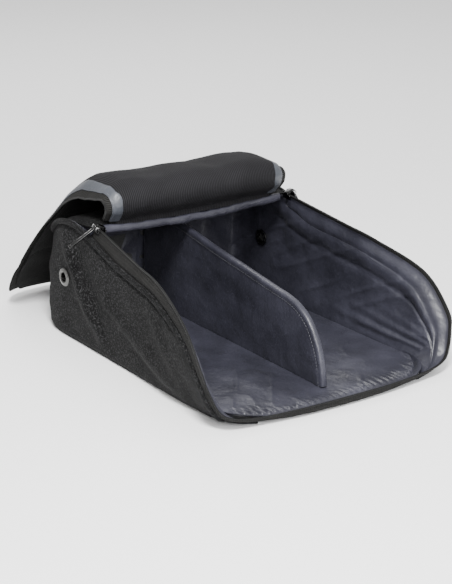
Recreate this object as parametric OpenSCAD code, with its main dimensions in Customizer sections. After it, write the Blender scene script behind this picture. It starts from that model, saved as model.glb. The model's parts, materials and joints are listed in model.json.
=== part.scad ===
// Two-compartment shoe bag: a padded tray with a fixed toe hood and a long lid that folds back.
// Millimetres, +Z up, +Y towards the toe end, origin at the centre of the underside.

/* [Bag] */
// Height of the hood above the ground
hood_height = 129; // [124:1:134]
// Half of the width of the base
base_half_width = 123; // [121:0.5:125]
// Distance from the origin to the outside of the toe end
toe_end_y = 173; // [171:0.5:175]
// How far the side walls bulge between the base and the piping
wall_bulge = 2.5; // [0:0.5:4]

/* [Layers] */
// Thickness of the outer fabric
fabric_t = 1.2; // [0.8:0.1:1.3]
// Thickness of the foam in the walls
foam_t = 3.2; // [2:0.1:3.3]
// Thickness of the lining
lining_t = 1; // [0.6:0.1:1.1]
// Clear space between neighbouring layers
layer_gap = 0.2; // [0.1:0.05:0.3]
// Radius of the piping
piping_r = 3; // [2:0.1:3.2]

/* [Lid] */
// Clear space on each side of a fold line of the lid
fold_gap = 2.5; // [2.2:0.1:3]
// Width of the zip tape on the lid
lid_tape_w = 10; // [8:0.5:12]
// Width of the satin border of the lid lining
border_w = 14; // [10:0.5:18]

/* [Zip] */
// Length of a pull
pull_length = 32; // [24:1:36]
// Width of a pull
pull_width = 5; // [4:0.5:6]
// Half of the channel of a slider, from the tape to a plate
channel_half = 2.6; // [2.5:0.1:2.8]

/* [Grommet] */
// Radius of the hole through a grommet
grommet_hole_r = 5; // [4:0.25:5.5]
// Outer radius of a grommet
grommet_r = 9.5; // [8:0.25:10.5]

/* [Hidden] */
$fn = 32;

fabric_colour = [0.20, 0.20, 0.21];
lining_colour = [0.36, 0.36, 0.42];
satin_colour = [0.45, 0.48, 0.53];
mesh_colour = [0.24, 0.23, 0.26];
tape_colour = [0.19, 0.18, 0.15];
metal_colour = [0.58, 0.57, 0.56];
board_colour = [0.85, 0.85, 0.83];
foam_colour = [0.75, 0.75, 0.72];

w = base_half_width;
e = toe_end_y;
foam_in = fabric_t + layer_gap;
lining_in = foam_in + foam_t + layer_gap;
wall_t = lining_in + lining_t;

// Right wall, from the front corner to the back corner: foot, piping seam and zip line.
foot_line = [[92, -174.5, 0], [104, -166, 0], [112, -155, 0], [w - 5, -143, 0], [w - 2, -128, 0],
    [w, -100, 0], [w, -50, 0], [w, -20, 0], [w, 22, 0], [w, 66, 0],
    [w, 95, 0], [w, 132, 0], [w - 6, e - 15, 0], [w - 19, e - 4, 0], [w - 36, e, 0]];
seam_line = [[93, -177, 1.6], [111, -172, 3.5], [125, -165, 8], [135, -159, 22], [138, -150, 39],
    [138, -122, 69], [131, -66, 88], [129, -25, 94.5], [125, 20, 98.5], [120, 66, 109],
    [122, 95, 119], [120, 128, 114], [114, e - 21, 100], [101, e - 10, 91], [w - 38, e - 5, 87]];
zip_line = [[94, -182, 9], [118, -178.5, 12], [131, -174, 19], [139, -168, 38], [142, -160, 56],
    [138, -128, 87], [126, -69, 105.5], [121.5, -24, 112.3], [117, 21, 119.2], [112.5, 66, 126]];
wall_ends = len(foot_line) - 1;
zip_ends = len(zip_line) - 1;

// Hood: its right edge, from the hinge line to the toe end.
hood_edge = [[111, 66, hood_height - 2], [117, 95, hood_height - 2], [115.5, 127, hood_height - 8],
    [109.5, 147, hood_height - 21], [97.5, 157.5, hood_height - 30], [84, 162, hood_height - 35]];
hood_sag = -5;
hood_crown = 2.5;

// Divider: free edge, from under the hood to the floor at the heel end, as y and z.
divider_edge = [[158, 82], [130, 98], [96, 105], [30, 96], [-68, 83], [-97, 79], [-116, 73],
    [-131, 62], [-143, 43], [-149, 26], [-152, 7]];
divider_foot = 6.6;
divider_back = 160;
divider_half = 1.7;

// Lid: fold lines by their distance along the lid, and the directions of the panels between them.
fold_at = [0, 26, 52, 101, 163, 225.6, 307.6];
panel_rest = [127, 22, -5, -49, -53, -42.5];
hinge_at = [0, 67, 131];
lid_edge = [[106.5, 0], [112, 57], [116.5, 101], [120, 136], [125, 163], [132, 196], [136, 226],
    [136, 244], [132, 263], [123, 283], [109, 296], [80, 303.5], [40, 306.5], [0, 307.6]];

grommet_at = [112, 64.5];
grommet_x = 125.2;
handle_pivot = [0, e + 6, 62];
handle_half = 45;
handle_drop = 30;

function len3(v) = sqrt(v * v);
function unit(v) = v / len3(v);
function lerp(a, b, t) = a + (b - a) * t;
function clamp(i, n) = max(0, min(n, i));

// Smooth curve through the points p, at t from 0 to len(p) - 1.
function curve(p, t) =
    let (n = len(p) - 1, i = clamp(floor(t), n - 1), u = t - i,
        a = p[clamp(i - 1, n)], b = p[i], c = p[i + 1], d = p[clamp(i + 2, n)])
    0.5 * ((2 * b) + (c - a) * u + (2 * a - 5 * b + 4 * c - d) * u * u
        + (3 * b - a - 3 * c + d) * u * u * u);

// Point of the right wall's outside: t along the wall, v from the foot at 0 to the seam at 1.
function wall_point(t, v) =
    let (p = lerp(curve(foot_line, t), curve(seam_line, t), v), out = unit([p[0], p[1] * 0.2, 0]))
    p + out * wall_bulge * sin(180 * v) * min(1, t / 3);
function band_point(t, v) = lerp(curve(seam_line, t), curve(zip_line, t), v);

// Normal of a grid of points at row i and column j.
function grid_normal(g, i, j) =
    let (m = len(g) - 1, n = len(g[0]) - 1,
        du = g[clamp(i + 1, m)][j] - g[clamp(i - 1, m)][j],
        dv = g[i][clamp(j + 1, n)] - g[i][clamp(j - 1, n)])
    unit(cross(du, dv));
function moved(g, d) = [for (i = [0 : len(g) - 1]) [for (j = [0 : len(g[0]) - 1])
    g[i][j] + grid_normal(g, i, j) * d]];

// Closed sheet between two depths below a grid of points.
module sheet(g, from, to) {
    rows = len(g);
    cols = len(g[0]);
    top = moved(g, from);
    low = moved(g, to);
    points = [for (r = top) each r, for (r = low) each r];
    half = rows * cols;
    upper = [for (i = [0 : rows - 2]) for (j = [0 : cols - 2])
        let (a = i * cols + j) each [[a, a + 1, a + cols], [a + 1, a + cols + 1, a + cols]]];
    lower = [for (f = upper) [f[0] + half, f[2] + half, f[1] + half]];
    rim = concat([for (j = [0 : cols - 2]) j], [for (i = [0 : rows - 2]) i * cols + cols - 1],
        [for (j = [cols - 1 : -1 : 1]) (rows - 1) * cols + j], [for (i = [rows - 1 : -1 : 1]) i * cols]);
    sides = [for (k = [0 : len(rim) - 1]) let (a = rim[k], b = rim[(k + 1) % len(rim)])
        each [[a, a + half, b], [b, a + half, b + half]]];
    polyhedron(points, concat(upper, lower, sides));
}

// Round cord of radius r along the points p.
module piping(p, r, sides = 8) {
    n = len(p);
    rings = [for (i = [0 : n - 1])
        let (t = unit(p[min(i + 1, n - 1)] - p[max(i - 1, 0)]),
            a = unit(cross(t, [0, 0, 1])), b = cross(a, t))
        for (k = [0 : sides - 1]) p[i] + (a * cos(360 * k / sides) + b * sin(360 * k / sides)) * r];
    walls = [for (i = [0 : n - 2]) for (k = [0 : sides - 1])
        let (a = i * sides + k, b = i * sides + (k + 1) % sides)
        each [[a, b, a + sides], [b, b + sides, a + sides]]];
    start = [[for (k = [sides - 1 : -1 : 0]) k]];
    end = [[for (k = [0 : sides - 1]) (n - 1) * sides + k]];
    polyhedron(rings, concat(walls, start, end));
}

// Outline of the base, moved in by d.
base_right = concat([[0, -184, 0], [50, -182, 0]], foot_line, [[0, e, 0]]);
base_steps = 2 * (len(base_right) - 1);
function base_point(i, d) =
    let (p = curve(base_right, i / 2), q = curve(base_right, min(i / 2 + 0.1, len(base_right) - 1)),
        o = curve(base_right, max(i / 2 - 0.1, 0)), t = unit(q - o))
    [p[0] - t[1] * d, p[1] + t[0] * d];
function base_outline(d) = concat([for (i = [1 : base_steps - 1]) base_point(i, d)],
    [for (i = [base_steps - 1 : -1 : 1]) let (p = base_point(i, d)) [-p[0], p[1]]]);
module base_sheet(d, from, to) {
    translate([0, 0, from]) linear_extrude(to - from) polygon(base_outline(d));
}
module base_panel() { color(fabric_colour) base_sheet(wall_t + 0.4, 0, 1.4); }
module base_board() { color(board_colour) base_sheet(wall_t + 1.4, 1.6, 4); }
module floor_lining() { color(lining_colour) base_sheet(wall_t + 0.8, 4.2, 5.4); }

// Gathered strip between the floor and the zip tape, across the front.
lip_half = 90;
function lip_row(x) =
    let (k = abs(x) / 92, y = -184 + 9.5 * k * k)
    [[x, y + 8.5, 6.5], [x, y + 3.5, 6.9], [x, y - 1, 7.5]];
module front_lip_lining() {
    color(lining_colour) sheet([for (x = [-lip_half : 15 : lip_half]) lip_row(x)], 0, -0.8);
}

wall_steps = 2;
wall_rows = 5;
wall_grid = [for (i = [0 : wall_ends * wall_steps])
    [for (j = [0 : wall_rows]) wall_point(i / wall_steps, j / wall_rows)]];
function lining_row(t) = concat([for (j = [0.06, 0.25, 0.5, 0.75, 1]) wall_point(t, j)],
    t <= zip_ends ? [band_point(t, 0.3), band_point(t, 0.6)]
        : [wall_point(t, 1) + [0, 0, 1], wall_point(t, 1) + [0, 0, 2]]);
lining_grid = [for (i = [1 : wall_ends * wall_steps]) lining_row(i / wall_steps)];
module grommet_bore(r) {
    translate([w - 20, grommet_at[0], grommet_at[1]]) rotate([0, 90, 0]) cylinder(h = 40, r = r);
}
module right_layer(g, from, to) {
    difference() {
        sheet(g, from, to);
        grommet_bore(grommet_hole_r + 1.4);
    }
}
module right_wall_fabric() { color(fabric_colour) right_layer(wall_grid, 0, -fabric_t); }
module right_wall_foam() { color(foam_colour) right_layer(wall_grid, -foam_in, -foam_in - foam_t); }
module right_wall_lining() { color(lining_colour) right_layer(lining_grid, -lining_in, -wall_t); }
module left_wall_fabric() { mirror([1, 0, 0]) right_wall_fabric(); }
module left_wall_foam() { mirror([1, 0, 0]) right_wall_foam(); }
module left_wall_lining() { mirror([1, 0, 0]) right_wall_lining(); }

// Toe end: the flat middle of the back, between the two wrapped corners.
end_half = w - 38.5;
end_grid = [for (x = [end_half : -end_half / 4 : -end_half]) [for (v = [0 : 0.25 : 1])
    [x, lerp(e, e - 5, v) + wall_bulge * sin(180 * v), 87 * v]]];
module toe_end_fabric() { color(fabric_colour) sheet(end_grid, 0, -fabric_t); }
module toe_end_foam() { color(foam_colour) sheet(end_grid, -foam_in, -foam_in - foam_t); }
module toe_end_lining() { color(lining_colour) sheet(end_grid, -lining_in, -wall_t); }

// Hood: u across from -1 to 1, v from the hinge line at 0 to the toe end at 1.
function hood_point(u, v) =
    let (p = curve(hood_edge, v * (len(hood_edge) - 1)),
        rise = lerp(hood_sag, hood_crown, min(1, 3 * v)))
    [u * p[0], p[1] + 1.5 * v * (1 - u * u), p[2] + rise * (1 - u * u)];
hood_grid = [for (u = [-1 : 0.2 : 1.01]) [for (v = [0 : 0.1 : 1.01]) hood_point(u, v)]];
module hood_fabric() { color(fabric_colour) sheet(hood_grid, 0, -fabric_t); }
hood_foam_t = foam_t - 1;
hood_lining_in = foam_in + hood_foam_t + layer_gap;
module hood_foam() { color(foam_colour) sheet(hood_grid, -foam_in, -foam_in - hood_foam_t); }
module hood_lining() {
    color(lining_colour) sheet(hood_grid, -hood_lining_in, -hood_lining_in - lining_t);
}
module hinge_binding() {
    top = [for (u = [-0.94 : 0.094 : 0.941]) let (p = hood_point(u, 0)) [p[0], p[2] - 0.5]];
    low = [for (i = [len(top) - 1 : -1 : 0]) top[i] - [0, 7]];
    color(satin_colour) translate([0, hood_edge[0][1] - 1, 0]) rotate([90, 0, 0]) linear_extrude(1.6)
        polygon(concat(top, low));
}

// Divider, a board between two covers, with a bound free edge.
divider_steps = 2 * (len(divider_edge) - 1);
function divider_free(d) = [for (i = [0 : divider_steps])
    let (t = i / 2, n = len(divider_edge) - 1, p = curve(divider_edge, t),
        s = unit(curve(divider_edge, min(t + 0.1, n)) - curve(divider_edge, max(t - 0.1, 0))))
    [p[0] - s[1] * d, max(divider_foot, p[1] + s[0] * d)]];
binding_reach = 7;
binding_wall = 0.8;
board_edge_in = 2.4;
module divider_plate(d, from, to) {
    free = divider_free(d);
    last = free[len(free) - 1];
    translate([from, 0, 0]) rotate([90, 0, 90]) linear_extrude(to - from)
        polygon(concat([[divider_back, divider_foot], [divider_back, free[0][1]]], free,
            [[last[0] + 0.5, divider_foot]]));
}
cover_from = divider_half + layer_gap;
cover_to = cover_from + lining_t;
module divider_board() { color(board_colour) divider_plate(board_edge_in, -divider_half, divider_half); }
module divider_covers() {
    color(lining_colour) {
        divider_plate(board_edge_in, cover_from, cover_to);
        divider_plate(board_edge_in, -cover_to, -cover_from);
    }
}
module divider_band(outer, inner, half) {
    back = divider_free(inner);
    translate([-half, 0, 0]) rotate([90, 0, 90]) linear_extrude(2 * half)
        polygon(concat(divider_free(outer), [for (i = [divider_steps : -1 : 0]) back[i]]));
}
module divider_binding() {
    color(satin_colour) difference() {
        divider_band(0, binding_reach, cover_to + layer_gap + binding_wall);
        divider_band(board_edge_in - layer_gap, binding_reach + 2, cover_to + layer_gap);
    }
}

// Piping on the seam of each wall, and along the top of the toe end.
function piping_point(t) = t <= zip_ends ? band_point(t, 0.2)
    : curve(seam_line, t) + [0, 0, 3.8];
piping_path = [for (i = [4 : wall_ends * 2]) piping_point(i / 2)];
module right_piping() { color(fabric_colour) piping(piping_path, piping_r); }
module left_piping() { mirror([1, 0, 0]) right_piping(); }
module toe_end_piping() {
    color(fabric_colour) translate([-end_half + 0.5, e - 5, 90.8]) rotate([0, 90, 0])
        cylinder(h = 2 * end_half - 1, r = piping_r);
}

// Zip of the tray: tape and coil in one sweep from hinge to hinge round the front.
front_seam = [[0, -187, 0.8], [50, -184.5, 0.8]];
front_zip = [[0, -189, 9.5], [50, -187.2, 9]];
half_seam = concat(front_seam, seam_line);
half_zip = concat(front_zip, zip_line);
half_steps = 2 * (zip_ends + 2);
function flipped(p) = [-p[0], p[1], p[2]];
function half_row(i) = [lerp(curve(half_seam, i / 2), curve(half_zip, i / 2), 0.42),
    lerp(curve(half_seam, i / 2), curve(half_zip, i / 2), 0.84)];
tape_grid = concat([for (i = [half_steps : -1 : 1]) [for (p = half_row(i)) flipped(p)]],
    [for (i = [0 : half_steps]) half_row(i)]);
coil_path = concat([for (i = [half_steps : -1 : 1]) flipped(curve(half_zip, i / 2))],
    [for (i = [0 : half_steps]) curve(half_zip, i / 2)]);
module tray_zip_tape() { color(tape_colour) sheet(tape_grid, 0.5, -0.4); }
module tray_zip_coil() { color(tape_colour) piping(coil_path, 1.1); }

// Slider frame: down the band, along the travel and out of the band.
zip_start = zip_line[zip_ends];
travel = unit(zip_line[6] - zip_start);
band_down = unit(seam_line[zip_ends] - zip_start);
out_of_band = unit(cross(travel, band_down));
down_band = cross(out_of_band, travel);
slider_length = 13;
module in_slider_frame() {
    at = zip_start + travel * 7;
    multmatrix([for (r = [0 : 2]) [down_band[r], travel[r], out_of_band[r], at[r]]]) children();
}
slider_plate = 1.3;
slider_top = channel_half + slider_plate;
pin_r = 0.7;
eye_r = 1.7;
pin_b = -1;
pin_n = 5.95;
lug_at = 4.2;
module slider_body() {
    in_slider_frame() {
        difference() {
            translate([-4.2, -slider_length / 2, -slider_top])
                cube([8.8, slider_length, 2 * slider_top]);
            translate([-2.8, -slider_length, -channel_half]) cube([20, 2 * slider_length, 2 * channel_half]);
        }
        for (side = [-1, 1]) translate([pin_b - 1.6, side * lug_at - 0.8, slider_top - 0.2])
            cube([3.2, 1.6, pin_n - slider_top + 1.4]);
        translate([pin_b, -lug_at, pin_n]) rotate([-90, 0, 0]) cylinder(h = 2 * lug_at, r = pin_r);
    }
}
module right_slider() { color(metal_colour) slider_body(); }
module left_slider() { color(metal_colour) mirror([1, 0, 0]) slider_body(); }

// Pulls at rest: each hangs outwards over the piping, and the left one is raised more.
left_pull_lean = 33;
right_pull_lean = 8;
module pull_body(lean) {
    in_slider_frame() translate([pin_b, 0, pin_n]) rotate([0, -lean, 0]) difference() {
        union() {
            translate([0, -pull_width / 2, -0.9]) cube([pull_length, pull_width, 1.8]);
            rotate([-90, 0, 0]) translate([0, 0, -pull_width / 2]) cylinder(h = pull_width, r = eye_r);
        }
        rotate([-90, 0, 0]) translate([0, 0, -pull_width]) cylinder(h = 2 * pull_width, r = pin_r + 0.3);
    }
}
module right_pull() { color(metal_colour) pull_body(right_pull_lean); }
module left_pull() { color(metal_colour) mirror([1, 0, 0]) pull_body(left_pull_lean); }

// Clamps that end the coil at the hinge.
module zip_start_stops() {
    at = zip_start + [0.9, 1.1, 0];
    color(metal_colour) for (side = [-1, 1]) translate([side * at[0], at[1], at[2]])
        cube([2.8, 1.6, 3], center = true);
}

// Grommets: a flanged barrel outside and a washer inside.
module grommet_face() {
    translate([grommet_x, grommet_at[0], grommet_at[1]]) rotate([0, 90, 0]) rotate_extrude($fn = 48)
        polygon([[grommet_hole_r, -9.6], [grommet_hole_r + 0.9, -9.6], [grommet_hole_r + 0.9, 0],
            [grommet_r, 0], [grommet_r - 0.8, 0.9], [grommet_hole_r + 1.2, 1.5], [grommet_hole_r, 0.8]]);
}
module grommet_washer() {
    translate([grommet_x - 9, grommet_at[0], grommet_at[1]]) rotate([0, 90, 0]) rotate_extrude($fn = 48)
        polygon([[grommet_hole_r + 1.1, -0.4], [grommet_r - 0.5, -0.4], [grommet_r - 0.5, 0.3],
            [grommet_hole_r + 1.1, 0.3]]);
}
module grommet_faces() {
    color(metal_colour) {
        grommet_face();
        mirror([1, 0, 0]) grommet_face();
    }
}
module grommet_washers() {
    color(metal_colour) {
        grommet_washer();
        mirror([1, 0, 0]) grommet_washer();
    }
}

// Bound seams inside the two back corners.
module corner_strip() {
    translate([96.5, 152.3, 7]) rotate([0, 0, 135]) linear_extrude(78)
        polygon([[-4, 0], [4, 0], [3, 1.4], [-3, 1.4]]);
}
module corner_bindings() {
    color(satin_colour) {
        corner_strip();
        mirror([1, 0, 0]) corner_strip();
    }
}

// Carry handle on the toe end: a webbing loop that hangs from two sewn patches.
module handle_patches() {
    patch = [24, 28];
    color(fabric_colour) for (side = [-1, 1]) translate([side * handle_half, e + 3.2, handle_pivot[2]])
        rotate([90, 0, 0]) linear_extrude(1.2, center = true) square(patch, center = true);
}
module carry_handle() {
    color(tape_colour) translate(handle_pivot) rotate([90, 0, 0])
        linear_extrude(2.4, center = true) difference() {
            hull() for (side = [-1, 1]) {
                translate([side * (handle_half - 8), -handle_drop + 10]) circle(r = 18);
                translate([side * handle_half, 0]) square([20, 2.4], center = true);
            }
            hull() for (side = [-1, 1]) {
                translate([side * (handle_half - 14), -handle_drop + 14]) circle(r = 6);
                translate([side * (handle_half - 16), 4]) circle(r = 6);
            }
        }
}

// Lid: six flat panels between fold lines.
function fold_point(k) = k == 0 ? hinge_at
    : fold_point(k - 1)
        + (fold_at[k] - fold_at[k - 1]) * [0, cos(panel_rest[k - 1]), sin(panel_rest[k - 1])];
lid_steps = 3 * (len(lid_edge) - 1);
lid_curve = [for (i = [0 : lid_steps]) curve(lid_edge, i / 3)];
function lid_outline(d) = [for (i = [0 : lid_steps])
    let (t = unit(lid_curve[min(i + 1, lid_steps)] - lid_curve[max(i - 1, 0)]))
    [max(0, lid_curve[i][0] - t[1] * d), lid_curve[i][1] + t[0] * d]];
module lid_shape(d) {
    half = lid_outline(d);
    polygon(concat([[0, 0]], half, [for (i = [len(half) - 1 : -1 : 0]) [-half[i][0], half[i][1]]]));
}
// The border is open along the hinge, between these half widths and up to this distance.
border_open = [60, 140];
lid_length = fold_at[len(fold_at) - 1];
module lid_layer(k, outer, inner, from, to) {
    start = fold_at[k] + fold_gap;
    long = fold_at[k + 1] - fold_at[k] - (k == 5 ? 0 : 2) * fold_gap;
    translate(fold_point(k)) rotate([panel_rest[k], 0, 0]) translate([0, -fold_at[k], from])
        linear_extrude(to - from) intersection() {
            difference() {
                lid_shape(outer);
                if (inner > 0) lid_shape(inner);
                if (inner > 0) translate([-border_open[0], -10])
                    square([2 * border_open[0], border_open[1] + 10]);
            }
            translate([-lid_length / 2, start]) square([lid_length, long]);
        }
}
lid_cloth_in = lid_tape_w + 0.8;
module lid_fabric(k) { color(fabric_colour) lid_layer(k, lid_cloth_in, 0, -1.5, -0.1); }
module lid_mesh(k) { color(mesh_colour) lid_layer(k, lid_cloth_in, 0, 0.1, 1.3); }
module lid_border(k) { color(satin_colour) lid_layer(k, lid_cloth_in, lid_cloth_in + border_w, 1.5, 2.2); }
module lid_zip(k) {
    color(tape_colour) {
        lid_layer(k, 0.3, lid_tape_w + 0.4, -0.5, 0.5);
        lid_layer(k, 0, 2.2, -1.1, 1.1);
    }
}

base_panel();
base_board();
floor_lining();
front_lip_lining();
left_wall_fabric();
left_wall_foam();
left_wall_lining();
right_wall_fabric();
right_wall_foam();
right_wall_lining();
toe_end_fabric();
toe_end_foam();
toe_end_lining();
hood_fabric();
hood_foam();
hood_lining();
divider_board();
divider_covers();
divider_binding();
left_piping();
right_piping();
toe_end_piping();
tray_zip_tape();
tray_zip_coil();
zip_start_stops();
left_slider();
right_slider();
left_pull();
right_pull();
grommet_faces();
grommet_washers();
hinge_binding();
corner_bindings();
handle_patches();
carry_handle();
lid_fabric(0);  // lid_fabric_1
lid_mesh(0);  // lid_mesh_1
lid_border(0);  // lid_border_1
lid_zip(0);  // lid_zip_1
lid_fabric(1);  // lid_fabric_2
lid_mesh(1);  // lid_mesh_2
lid_border(1);  // lid_border_2
lid_zip(1);  // lid_zip_2
lid_fabric(2);  // lid_fabric_3
lid_mesh(2);  // lid_mesh_3
lid_border(2);  // lid_border_3
lid_zip(2);  // lid_zip_3
lid_fabric(3);  // lid_fabric_4
lid_mesh(3);  // lid_mesh_4
lid_border(3);  // lid_border_4
lid_zip(3);  // lid_zip_4
lid_fabric(4);  // lid_fabric_5
lid_mesh(4);  // lid_mesh_5
lid_border(4);  // lid_border_5
lid_zip(4);  // lid_zip_5
lid_fabric(5);  // lid_fabric_6
lid_mesh(5);  // lid_mesh_6
lid_border(5);  // lid_border_6
lid_zip(5);  // lid_zip_6
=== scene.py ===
import json
import math

import bmesh
import bpy
import numpy as np
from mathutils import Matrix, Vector
from numpy.linalg import norm


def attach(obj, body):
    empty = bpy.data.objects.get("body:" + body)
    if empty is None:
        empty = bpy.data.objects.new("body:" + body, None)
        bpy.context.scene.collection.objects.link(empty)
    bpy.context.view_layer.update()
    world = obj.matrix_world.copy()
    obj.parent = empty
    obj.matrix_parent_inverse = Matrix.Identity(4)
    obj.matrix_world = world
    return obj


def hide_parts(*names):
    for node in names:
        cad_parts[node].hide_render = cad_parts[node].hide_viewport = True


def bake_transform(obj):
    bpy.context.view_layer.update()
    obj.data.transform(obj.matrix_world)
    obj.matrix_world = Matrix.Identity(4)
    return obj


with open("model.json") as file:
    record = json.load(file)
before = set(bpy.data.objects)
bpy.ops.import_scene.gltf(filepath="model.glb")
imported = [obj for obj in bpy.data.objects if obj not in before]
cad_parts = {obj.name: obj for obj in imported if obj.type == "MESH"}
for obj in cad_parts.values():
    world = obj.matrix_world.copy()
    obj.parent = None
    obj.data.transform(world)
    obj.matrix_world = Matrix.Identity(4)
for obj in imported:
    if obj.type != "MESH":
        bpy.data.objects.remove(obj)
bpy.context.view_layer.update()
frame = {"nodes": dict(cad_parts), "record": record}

MM = 0.001
MIRROR = np.array([-1, 1, 1])
SIDES = ((-1, "left"), (1, "right"))


# ---- numbers of the bag, in millimetres

def joint(name):
    return next(j for j in frame["record"]["behaviour"]["joints"] if j["name"] == name)


W = 123.0
E = 173.0
HOOD_Z = 129.0
FABRIC_T = 1.2
LINING_T = 0.7
FOAM_T = 3.0
TOE_END_Z = 87
TOE_END_LEAN = 5
WALL_BULGE = 2.5
WALL_T = 6.0
PIPING_R = 3.0

# Right wall from the front corner to the back corner: foot, piping seam and zip line.
FOOT = [[92, -174.5, 0], [104, -166, 0], [112, -155, 0], [W - 5, -143, 0], [W - 2, -128, 0],
        [W, -100, 0], [W, -50, 0], [W, -20, 0], [W, 22, 0], [W, 66, 0],
        [W, 95, 0], [W, 132, 0], [W - 6, E - 15, 0], [W - 19, E - 4, 0], [W - 36, E, 0]]
SEAM = [[93, -177, 1.6], [111, -172, 3.5], [125, -165, 8], [135, -159, 22], [138, -150, 39],
        [138, -122, 69], [131, -66, 88], [129, -25, 94.5], [125.5, 20, 100], [123, 64, 112.5],
        [122, 95, 119], [120, 128, 114], [114, E - 21, 100], [101, E - 10, 91], [W - 38, E - 5, 87]]
ZIP = [[94, -182, 9], [118, -178.5, 12], [131, -174, 19], [139, -168, 38], [142, -160, 56],
       [138, -128, 87], [126, -69, 105.5], [121.5, -24, 112.3], [117, 21, 119.2], [112.5, 66, 126]]
FRONT_SEAM = [[0, -187, 0.8], [50, -184.5, 0.8]]
FRONT_ZIP = [[0, -189, 9.5], [50, -187.2, 9]]
WALL_ENDS = len(FOOT) - 1
ZIP_ENDS = len(ZIP) - 1
HOOD_EDGE = [[111, 66, HOOD_Z - 2], [117, 95, HOOD_Z - 2], [115.5, 127, HOOD_Z - 8],
             [109.5, 147, HOOD_Z - 21], [97.5, 157.5, HOOD_Z - 30], [84, 162, HOOD_Z - 35]]
DIVIDER_EDGE = [[158, 82], [130, 98], [96, 105], [30, 96], [-68, 83], [-97, 79], [-116, 73],
                [-131, 62], [-143, 43], [-149, 26], [-152, 7]]
DIVIDER_FOOT = 6.6

# Lid: its outline as half width and distance along, and the joints on its fold lines.
LID_EDGE = [[106.5, 0], [112, 57], [116.5, 101], [120, 136], [125, 163], [132, 196], [136, 226],
            [136, 244], [132, 263], [123, 283], [109, 296], [80, 303.5], [40, 306.5], [0, 307.6]]
LID_JOINTS = ["lid_hinge"] + ["lid_fold_%d" % k for k in range(2, 7)]
HINGES = [np.array(joint(n)["pos_m"][1:]) / MM for n in LID_JOINTS]
TAPE_W = 10.0
BORDER_AT = 6.6
BORDER_SHOWN = 11.6


def curve(points, t):
    """Smooth curve through the points, at t from 0 to len(points) - 1."""
    p = np.asarray(points, float)
    n = len(p) - 1
    t = np.asarray(t, float)
    i = np.clip(np.floor(t).astype(int), 0, n - 1)
    u = (t - i)[..., None]
    a, b, c, d = p[np.clip(i - 1, 0, n)], p[i], p[i + 1], p[np.clip(i + 2, 0, n)]
    return 0.5 * (2 * b + (c - a) * u + (2 * a - 5 * b + 4 * c - d) * u**2 + (3 * b - a - 3 * c + d) * u**3)


def spread(rows, columns):
    """Grid of two values, each given as its start, end and count."""
    return np.meshgrid(np.linspace(*rows), np.linspace(*columns), indexing="ij")


def arch(v):
    """0 at 0 and at 1, and 1 half way."""
    return np.sin(np.pi * np.clip(v, 0, 1))


def lerp(a, b, t):
    return a + (b - a) * t


def smooth(x, low, high):
    t = np.clip((x - low) / (high - low), 0, 1)
    return t * t * (3 - 2 * t)


def bump_at(x, centre, width):
    return np.exp(-((x - centre) / width) ** 2)


def unit(v):
    return v / np.maximum(norm(v, axis=-1, keepdims=True), 1e-9)


def distances(path):
    """Distance along the path at each of its points."""
    return np.cumsum(norm(np.diff(path, axis=0, prepend=path[:1]), axis=1))


def pairs(a, b):
    """All pairs of the two distances, as UV places in metres."""
    return np.stack(np.meshgrid(a, b, indexing="ij"), -1).reshape(-1, 2) * MM


def tangents(path):
    return unit(np.gradient(path, axis=0))


# ---- noise

def lattice(i, seed):
    """A fixed number from -1 to 1 for each cell, so nothing is drawn at random."""
    h = i[..., 0] * 374761393 + i[..., 1] * 668265263 + i[..., 2] * 1442695041 + seed * 974634777
    h = h & 0xFFFFFFFF
    h = ((h ^ (h >> 13)) * 1274126177) & 0xFFFFFFFF
    return ((h ^ (h >> 16)) & 0xFFFF) / 32767.5 - 1


def noise(p, size, seed):
    """Smooth noise from -1 to 1 with cells of the given size, one number or one for each axis."""
    q = np.asarray(p, float) / np.asarray(size, float)
    i = np.floor(q).astype(np.int64)
    f = q - i
    f = f**3 * (f * (f * 6 - 15) + 10)
    out = 0
    for dx in (0, 1):
        for dy in (0, 1):
            for dz in (0, 1):
                w = (f[..., 0] if dx else 1 - f[..., 0]) * (f[..., 1] if dy else 1 - f[..., 1])
                w = w * (f[..., 2] if dz else 1 - f[..., 2])
                out = out + w * lattice(i + [dx, dy, dz], seed)
    return out


def fbm(p, size, seed, octaves=3):
    """Noise in several sizes, each half as large as the one before."""
    return sum(noise(p, np.asarray(size, float) / 2**k, seed + k) / 2**k for k in range(octaves))


def ridges(p, size, seed):
    """Sharp-crested wrinkles, from 0 to 1."""
    return (1 - np.abs(noise(p, size, seed))) ** 3


# ---- mesh helpers

def new_object(name, data):
    obj = bpy.data.objects.new(name, data)
    bpy.context.scene.collection.objects.link(obj)
    return obj


def new_piece(name, verts, faces, mat, uvs=None, sharp=55):
    mesh = bpy.data.meshes.new(name)
    mesh.from_pydata((np.asarray(verts, float) * MM).tolist(), [], faces)
    mesh.polygons.foreach_set("use_smooth", [True] * len(mesh.polygons))
    if uvs is not None:
        layer = mesh.uv_layers.new(name="UVMap")
        index = np.zeros(len(mesh.loops), np.int32)
        mesh.loops.foreach_get("vertex_index", index)
        layer.data.foreach_set("uv", np.asarray(uvs, np.float32)[index].ravel())
    mesh.validate()
    mesh.set_sharp_from_angle(angle=math.radians(sharp))
    mesh.materials.append(mat)
    return new_object(name, mesh)


def grid_normals(g):
    return unit(np.cross(np.gradient(g, axis=0), np.gradient(g, axis=1)))


def facing(g, away):
    """The grid g, with its rows reversed if its normals point against away."""
    return g if np.mean(grid_normals(g) @ np.array(away, float)) >= 0 else g[::-1]


def outward(g):
    """Normals of a grid on the right wall, pointing out of the bag."""
    n = grid_normals(g)
    return n if np.mean(n[..., 0]) >= 0 else -n


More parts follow.
